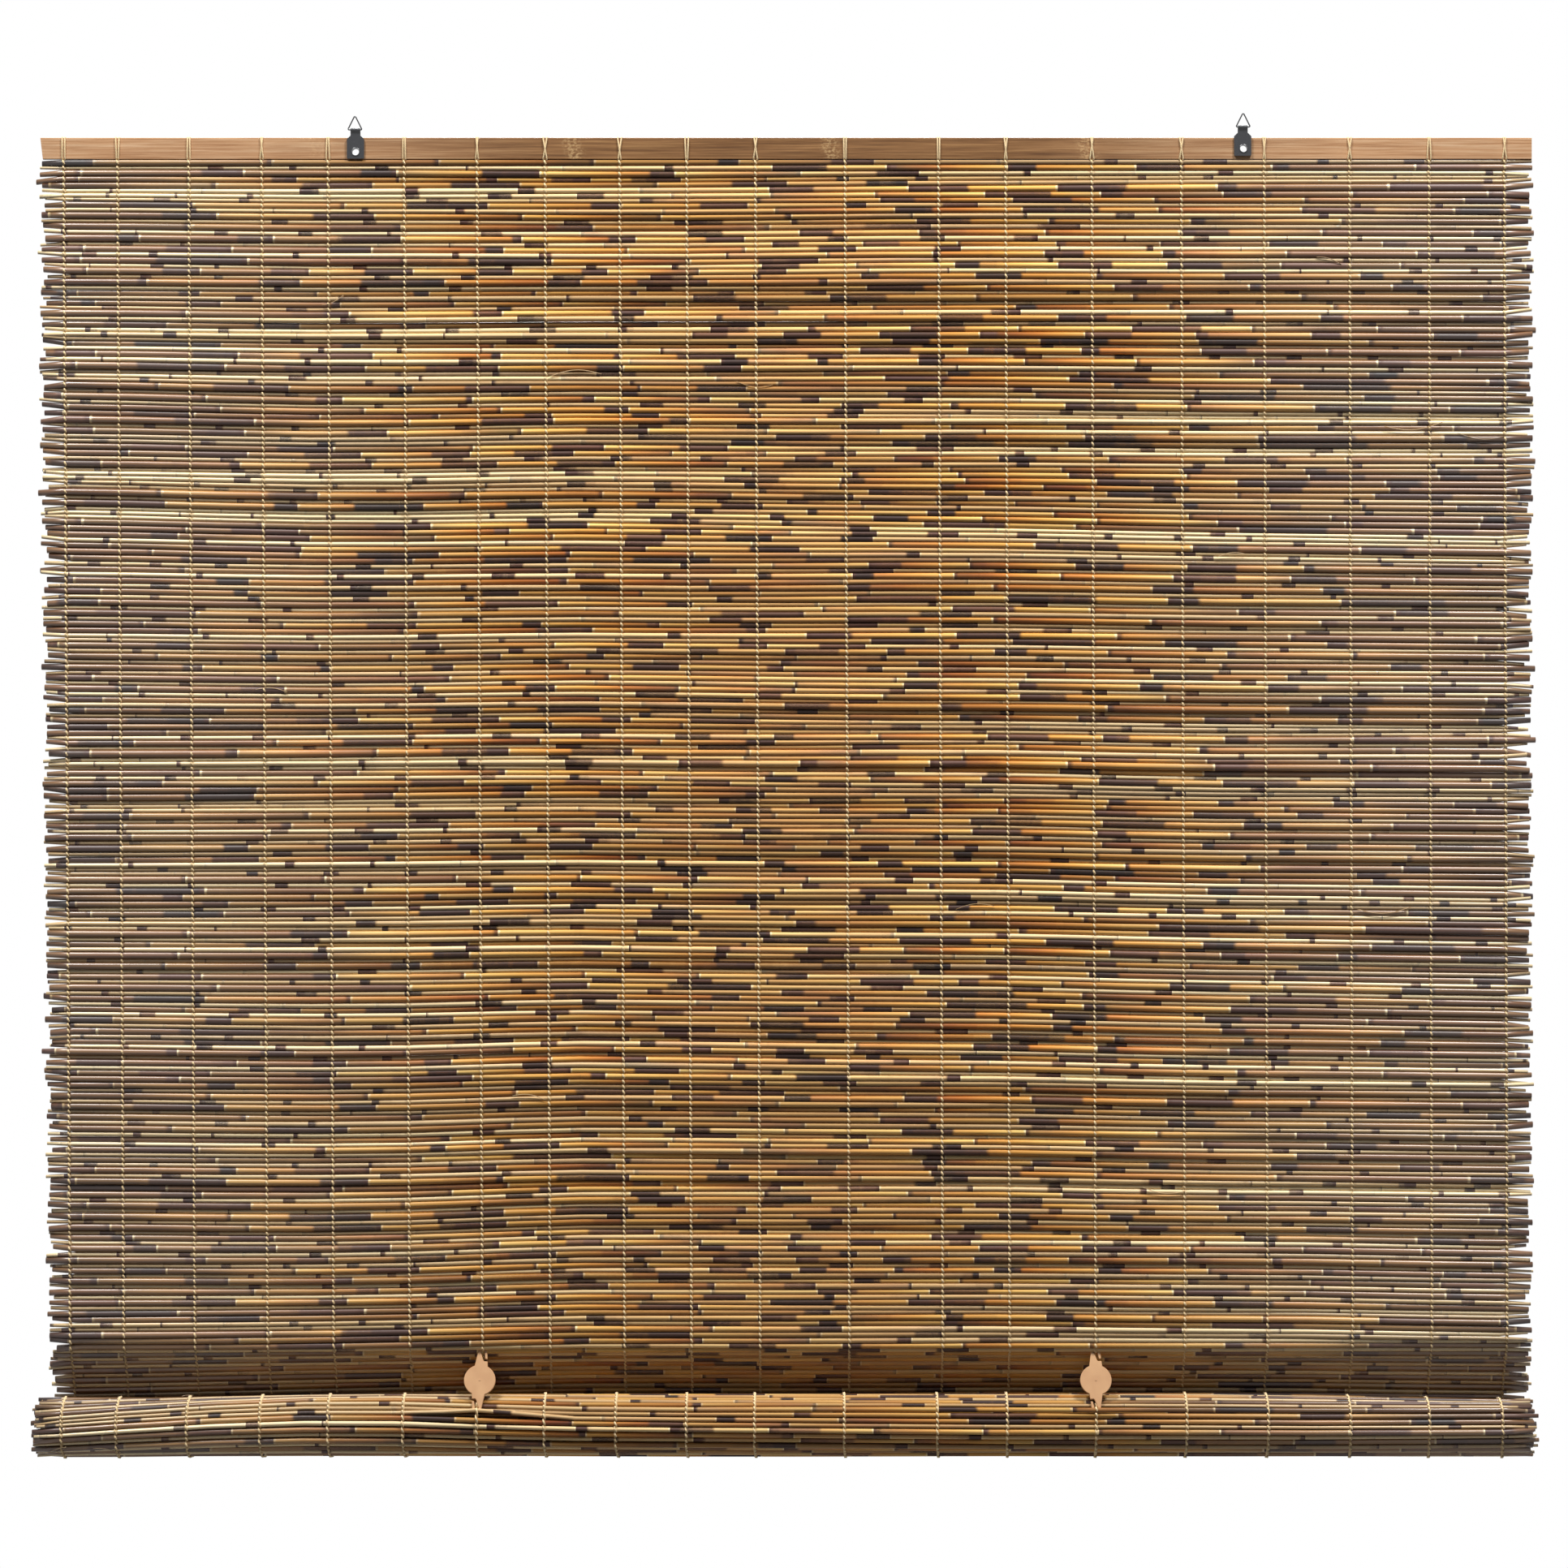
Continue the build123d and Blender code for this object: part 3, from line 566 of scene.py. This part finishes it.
def lay_reeds():
    """Share from butt to tip, radius, place down the mat and lift of every reed at the stations.

    A reed tapers evenly from butt to tip, thicker or thinner by a factor of its own and by
    smooth noise, and neighbours are laid opposite ways. Each place is the sum of the
    thicknesses above it, scaled at each station so that the whole stack has the mat's length,
    plus a slow drift. The lift across the mat is a random one for each reed and smooth noise.
    """
    way = np.where(np.arange(REEDS) % 2 == 0, 1, -1)
    swapped = rng.random(REEDS) < 0.09
    way = np.where(swapped, -way, way)
    share = np.where(way[:, None] > 0, STATIONS[None, :], 1 - STATIONS[None, :])
    radius = BUTT_RADIUS - TIP_THINNER * share
    radius = radius * (1 + 0.055 * rng.standard_normal((REEDS, 1)))
    radius = radius + 0.13 * smooth_noise(REEDS, STATIONS, 5)
    radius = np.clip(radius, 1.9, 4.4)
    drift = np.cumsum(0.08 * smooth_noise(REEDS, STATIONS, 4), axis=0)
    drift = drift * np.sin(pi * np.arange(REEDS) / REEDS)[:, None]
    place = np.cumsum(2 * radius, axis=0) - radius
    fit = MAT_LENGTH / (place[-1] + radius[-1])
    place = place * fit + drift

    # Past the outer cords the ends spread freely.
    place[:, [0, -1]] += 1.5 * rng.standard_normal((REEDS, 2))
    lift = np.clip(0.8 * rng.standard_normal((REEDS, 1)), -1.2, 1.3)
    lift = lift + 0.35 * smooth_noise(REEDS, STATIONS, 4)
    lift[:, [0, -1]] += 0.9 * rng.standard_normal((REEDS, 2))

    # Where the mat leans back, the reeds lie close.
    leans = smooth_rise(place, HANG - 8, HANG + 8)
    leans = leans * (1 - smooth_rise(place, ROLL_START, ROLL_START + 20))
    lift = lift * (1 - 0.7 * leans)

    # One reed passes over each clip's lower end, and the reed before it leans out with it, each
    # along a bell curve.
    over_clip, beside_clip, swell_width = 6.4, 2.8, 55
    for cord in CLIP_CORDS:
        clip_x = sum(CORD_SPACINGS[:cord + 1]) + CORD_ROLL_SHIFT[cord]
        station = np.argmin(np.abs(STATIONS - clip_x / SLAT_LENGTH))
        row = np.argmin(np.abs(place[:, station] - CLIP_HOOK + 4))
        swell = np.exp(-((STATIONS * SLAT_LENGTH - clip_x) / swell_width) ** 2)
        lift[row] += swell * (over_clip - lift[row])
        place[row] += swell * (CLIP_HOOK - 3.0 - place[row])
        lift[row - 1] += swell * (beside_clip - lift[row - 1])
    return share, radius * fit, place, lift


reed_share, reed_radius, reed_place, reed_lift = lay_reeds()


def reed_rings(first, last):
    """Rings round each reed's stations, and the stem attribute at each of their points.

    A ring is the reed's middle plus its radius times the cosine across the mat and the sine
    along it. The gap between two nodes shrinks evenly towards the tip, so the count of nodes
    is a logarithm of the share.
    """
    rows = slice(first, last)
    total = last - first
    on_roll = first >= MAT_REEDS

    # How far the ends stand in from the slat's. The mat's left edge drifts in as it hangs.
    left_in = -3.5 if on_roll else 1.5 + 11 * np.clip(reed_place[rows, :1] / ROLL_START, 0, 1)
    right_in = -0.5 if on_roll else 1.5
    left = -SLAT_HALF_LENGTH + left_in + 2.6 * rng.standard_normal((total, 1))
    right = SLAT_HALF_LENGTH - right_in + 2.8 * rng.standard_normal((total, 1))
    left = np.maximum(left, -SLAT_HALF_LENGTH - 9)
    right = np.minimum(right, SLAT_HALF_LENGTH + 7)
    x = left + (right - left) * STATIONS[None, :]
    place = wound(reed_place[rows], x)
    share = reed_share[rows]

    # The mat's reeds are drawn a little full and the roll's a little thin, for their pitch.
    full = 0.87 if on_roll else 1.08 + 0.06 * smooth_rise(place, HANG - 20, HANG + 10)
    radius = reed_radius[rows] * full

    # Past the outer cords the reeds are thinner, each by its own amount.
    radius[:, [0, -1]] *= 0.66 + 0.26 * rng.random((total, 1))
    radius[:, [1, -2]] *= 0.95
    middle, along, across = path_frame(place, x)
    middle = middle + across * reed_lift[rows][..., None]
    angle = 2 * pi * np.arange(REED_SIDES) / REED_SIDES
    ring = (np.cos(angle)[:, None] * across[:, :, None]
            + np.sin(angle)[:, None] * along[:, :, None])
    yz = middle[:, :, None] + ring * radius[:, :, None, None]
    x = np.broadcast_to(x[:, :, None, None], yz.shape[:3] + (1,))
    rings = np.concatenate([x, yz], -1)

    nodes_up = -np.log(1 - share * TIP_NODE_CLOSER / BUTT_NODE_GAP) * SLAT_LENGTH / TIP_NODE_CLOSER
    start = rng.random((total, 1))
    stretch = 1 + 0.15 * rng.standard_normal((total, 1))
    count = nodes_up * stretch + start
    number = (np.arange(first, last) + 0.5)[:, None] + 0 * count
    stem = np.stack([count, number, share], -1)
    return rings, np.broadcast_to(stem[:, :, None, :], rings.shape)


# The cords


def strand_rings(points, radius, clear_of):
    """Rings round a line of points that never runs along the direction clear_of.

    A ring is a point plus the radius times the cosine one way and the sine the other. One way
    is clear_of less its part along the line, and the other is square to both.
    """
    clear_of = np.array(clear_of)
    along = np.gradient(points, axis=0)
    along /= np.linalg.norm(along, axis=1, keepdims=True)
    first = clear_of - along * (along @ clear_of)[:, None]
    first /= np.linalg.norm(first, axis=1, keepdims=True)
    second = np.cross(along, first)
    angle = 2 * pi * np.arange(STRAND_SIDES) / STRAND_SIDES
    ring = (np.cos(angle)[None, :, None] * first[:, None]
            + np.sin(angle)[None, :, None] * second[:, None])
    return points[:, None] + ring * np.asarray(radius).reshape(-1, 1, 1)


def twine(index, hand):
    """Rings of one of a cord's two strands: in front of one reed and behind the next.

    Its depth follows the cosine of half a turn a reed, flattened by a power, and it sways
    sideways by the sine. It is thickest where it lies on a reed.
    """
    step = np.arange(0, (MAT_REEDS + CORD_TURN_REEDS) * 3 + 1) / 3 - 0.5
    places, radii, lifts = (
        np.array([np.interp(cord_share[index], STATIONS, row) for row in table])
        for table in (reed_place, reed_radius, reed_lift))
    numbers = np.arange(REEDS)
    place = np.interp(step, numbers, places)
    place = np.where(step < 0, places[0] + step * 2 * radii[0], place)
    radius = np.interp(step, numbers, radii)
    lift = np.interp(step, numbers, lifts)
    x = np.interp(place, [0, HANG, ROLL_START, ROLL_START + 90],
                  [cord_top[index], cord_low[index], cord_low[index], cord_roll[index]])
    middle, _, across = path_frame(wound(place, x), x)
    swing = np.cos(pi * step)
    reach = np.sign(swing) * np.abs(swing) ** 0.6
    depth = lift + hand * reach * (radius + STRAND_OFF_REED)
    sway = -STRAND_SWAY * hand * np.sin(pi * step)
    points = np.column_stack([x + sway, middle + across * depth[:, None]])
    return strand_rings(points, STRAND_RADIUS + STRAND_SWELL * np.abs(swing), (1.0, 0, 0))


# How far each loop's foot and top stand to the side of their cord
loop_foot = 0.9 + 1.5 * rng.random(CORDS)
loop_top = (0.9 + 1.3 * rng.random(CORDS)) * np.where(rng.random(CORDS) < 0.6, 1, -1)


def slat_loop(index, hand):
    """Rings of one strand round the head slat: up the front, over the top and down the back.

    Its line joins the corners of the slat's section, moved out and rounded off, and the two
    strands cross at half height, where one is further out.
    """
    front = -SLAT_THICK - LOOP_OFF_SLAT
    back = LOOP_OFF_SLAT
    low = -SLAT_HALF_HEIGHT - 0.3
    high = SLAT_HALF_HEIGHT + LOOP_OFF_SLAT
    foot = hand * loop_foot[index]
    top = -hand * loop_top[index]
    middle = (foot + top) / 2
    over = 0.4 * (hand > 0)
    points = np.array([
        (hand * 0.5, MAT_Y, low - 1.6), (foot, front + 0.6, low - 0.4), (foot, front, low + 2),
        (middle, front - over, 0), (top, front, high - 1.6), (top, front + 0.5, high - 0.2),
        (top, front + 1.8, high), (top, back - 1.8, high), (top, back - 0.5, high - 0.2),
        (top, back, high - 1.6), (middle, back + over, 0), (foot, back, low + 2),
        (foot, back - 0.6, low - 0.4), (hand * 0.5, MAT_Y + 1, low - 1.6),
    ])
    points[:, 0] += cord_top[index]
    return strand_rings(points, LOOP_RADIUS, (1.0, 0, 0))


# Loose fibres

# X, place down the mat, length, and how far down each one runs
LOOSE_FIBRES = [
    (-285, 262, 62, -3), (-60, 268, 44, 4), (640, 118, 30, 9), (722, 322, 70, -5),
    (810, 330, 58, 4), (-805, 1502, 24, 36), (-560, 176, 26, -12), (-640, 640, 38, 3),
    (205, 905, 46, -4), (430, 1240, 52, 5), (-893, 1640, 27, 11), (-889, 1643, 22, 7),
    (-880, 1646, 14, -8), (-834, 1646, 33, -10), (-730, 1712, 13, 4), (690, 905, 64, -3),
    (-330, 1130, 40, 5), (520, 480, 34, -4),
]


def loose_fibres():
    """Rings of split fibres and broken straws that lie on the front of the reeds.

    Each goes sideways from its start, evenly down, and bows up or down and outwards by the
    sine of half a turn. Outwards is away from the mat's back, or from the roll's middle.
    """
    share = np.linspace(0, 1, 10)
    arc = np.sin(pi * share)
    fibres = []
    for x, s, length, down in LOOSE_FIBRES:
        run = x + length * share
        place = wound(s + down * share + 0.1 * length * arc * rng.choice([-1, 1]), run)
        middle, _, across = path_frame(place, run)
        outward = np.where(place > ROLL_START + 25, 1, -1) * (4.2 + 0.5 * arc)
        points = np.column_stack([run, middle + across * outward[:, None]])
        radius = 0.34 + 0.2 * rng.random() + 0 * share
        fibres.append(strand_rings(points, radius, (0, 0, 1.0)))
    return np.stack(fibres)


# Putting the blind together

reed_finish = reed_material()
cotton = cotton_material()
slat_finish = slat_material()
steel = steel_material()
plastic = plastic_material()

for label, node_name, first, last in (("mat_reeds", "reed_mat", 0, MAT_REEDS),
                                      ("roll_reeds", "reed_roll", MAT_REEDS, REEDS)):
    rings, stem = reed_rings(first, last)
    piece = add_tubes(label, rings, reed_finish, {"stem": stem})
    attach(piece, "blind")
    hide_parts(node_name)

for index in range(CORDS):
    number = f"{index + 1:02d}"
    strands, loops = (np.stack([course(index, hand) for hand in (-1, 1)])
                      for course in (twine, slat_loop))
    cord = add_tubes(f"cotton_cord_{number}", strands, cotton, smooth_caps=True)
    loop = add_tubes(f"slat_loop_{number}", loops, cotton, smooth_caps=True)
    for piece in (cord, loop):
        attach(piece, "blind")
    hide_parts(f"warp_cord_{number}")

# The fibres count as stems of their own, each near the tip and between two nodes.
rings = loose_fibres()
number = np.broadcast_to(REEDS + np.arange(len(rings))[:, None, None], rings.shape[:3])
stem = np.stack([0.4 + 0 * number, number, 0.92 + 0 * number], -1)
fibres = add_tubes("loose_fibres", rings, reed_finish, {"stem": stem})
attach(fibres, "blind")

finishes = {"head_slat": slat_finish, "bottom_slat": slat_finish}
for side in ("left", "right"):
    finishes[f"roll_clip_{side}"] = plastic
    for part in ("plate", "ring", "eyelet"):
        finishes[f"hanger_{part}_{side}"] = steel
for node_name, finish in finishes.items():
    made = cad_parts[node_name]
    made.data.materials.clear()
    made.data.materials.append(finish)


# Room, light and camera, in metres


def add_plane(name, centre, half, material):
    """A level square: its corners stand half its width from the centre, in X and in Y."""
    x, y, z = centre
    corners = [(x - half, y - half, z), (x + half, y - half, z),
               (x + half, y + half, z), (x - half, y + half, z)]
    mesh = bpy.data.meshes.new(name)
    mesh.from_pydata(corners, [], [(0, 1, 2, 3)])
    mesh.materials.append(material)
    plane = bpy.data.objects.new(name, mesh)
    bpy.context.scene.collection.objects.link(plane)
    return plane


def add_area_light(name, place, target, size, power):
    """A square soft light, turned along the line from its place to its target."""
    lamp = bpy.data.lights.new(name, "AREA")
    lamp.size = size
    lamp.energy = power
    holder = bpy.data.objects.new(name, lamp)
    holder.location = place
    aim = Vector(target) - Vector(place)
    holder.rotation_euler = aim.to_track_quat("-Z", "Y").to_euler()
    bpy.context.scene.collection.objects.link(holder)


# The floor is white to the camera and grey to other rays, so that it throws up little light.
floor_material, add, shader = new_material("pale_floor")
seen = add("LightPath", output="Is Camera Ray")
floor_colour = add("Mix", {0: seen, 6: "#8C8C8A", 7: "#F2F1EE"}, **BLEND)
feed(shader, {"Base Color": floor_colour, "Roughness": 0.8})
add_plane("floor", (0, 0, -2.6), 1.3, floor_material)

# The world is white to look at, also in gloss and through glass, and lights the blind a little.
world = bpy.data.worlds.new("studio")
bpy.context.scene.world = world
world.use_nodes = True
add = partial(node, world.node_tree)
ambient = world.node_tree.nodes["Background"]
feed(ambient, {"Color": "#FFFFFF", "Strength": 0.06})
white = add("Background", {"Color": "#FFFFFF", "Strength": 1.0})
rays = add("LightPath").node.outputs
seen = add("Math", {0: rays["Is Camera Ray"], 1: rays["Is Transmission Ray"]},
           operation="MAXIMUM")
seen = add("Math", {0: seen, 1: rays["Is Glossy Ray"]}, operation="MAXIMUM")
mixed = add("MixShader", {0: seen, 1: ambient.outputs[0], 2: white})
feed(world.node_tree.nodes["World Output"], {"Surface": mixed})

add_area_light("left_light", (-2.3, -1.9, 4.6), (-0.2, 0, -0.75), size=1.2, power=400)
add_area_light("right_light", (2.3, -1.9, 4.6), (0.2, 0, -0.75), size=1.2, power=430)
add_area_light("back_light", (0, 3.2, 3.0), (0, 0, -0.75), size=1.5, power=300)

# The picture is 1932 pixels wide and shows 0.98 mm a pixel at the mat.
PICTURE_WIDTH = 1932 * 0.98 * MM
PICTURE_MIDDLE_X = -0.00245
PICTURE_MIDDLE_Z = -0.767
VIEW_DISTANCE = 5.8
SENSOR_WIDTH = 36
camera_data = bpy.data.cameras.new("view")
camera_data.sensor_width = SENSOR_WIDTH
camera_data.lens = SENSOR_WIDTH * VIEW_DISTANCE / PICTURE_WIDTH
camera = bpy.data.objects.new("view", camera_data)
camera.location = (PICTURE_MIDDLE_X, MAT_Y * MM - VIEW_DISTANCE, PICTURE_MIDDLE_Z)
camera.rotation_euler = (pi / 2, 0, 0)
bpy.context.scene.collection.objects.link(camera)
bpy.context.scene.camera = camera
bpy.context.scene.view_settings.view_transform = "Standard"
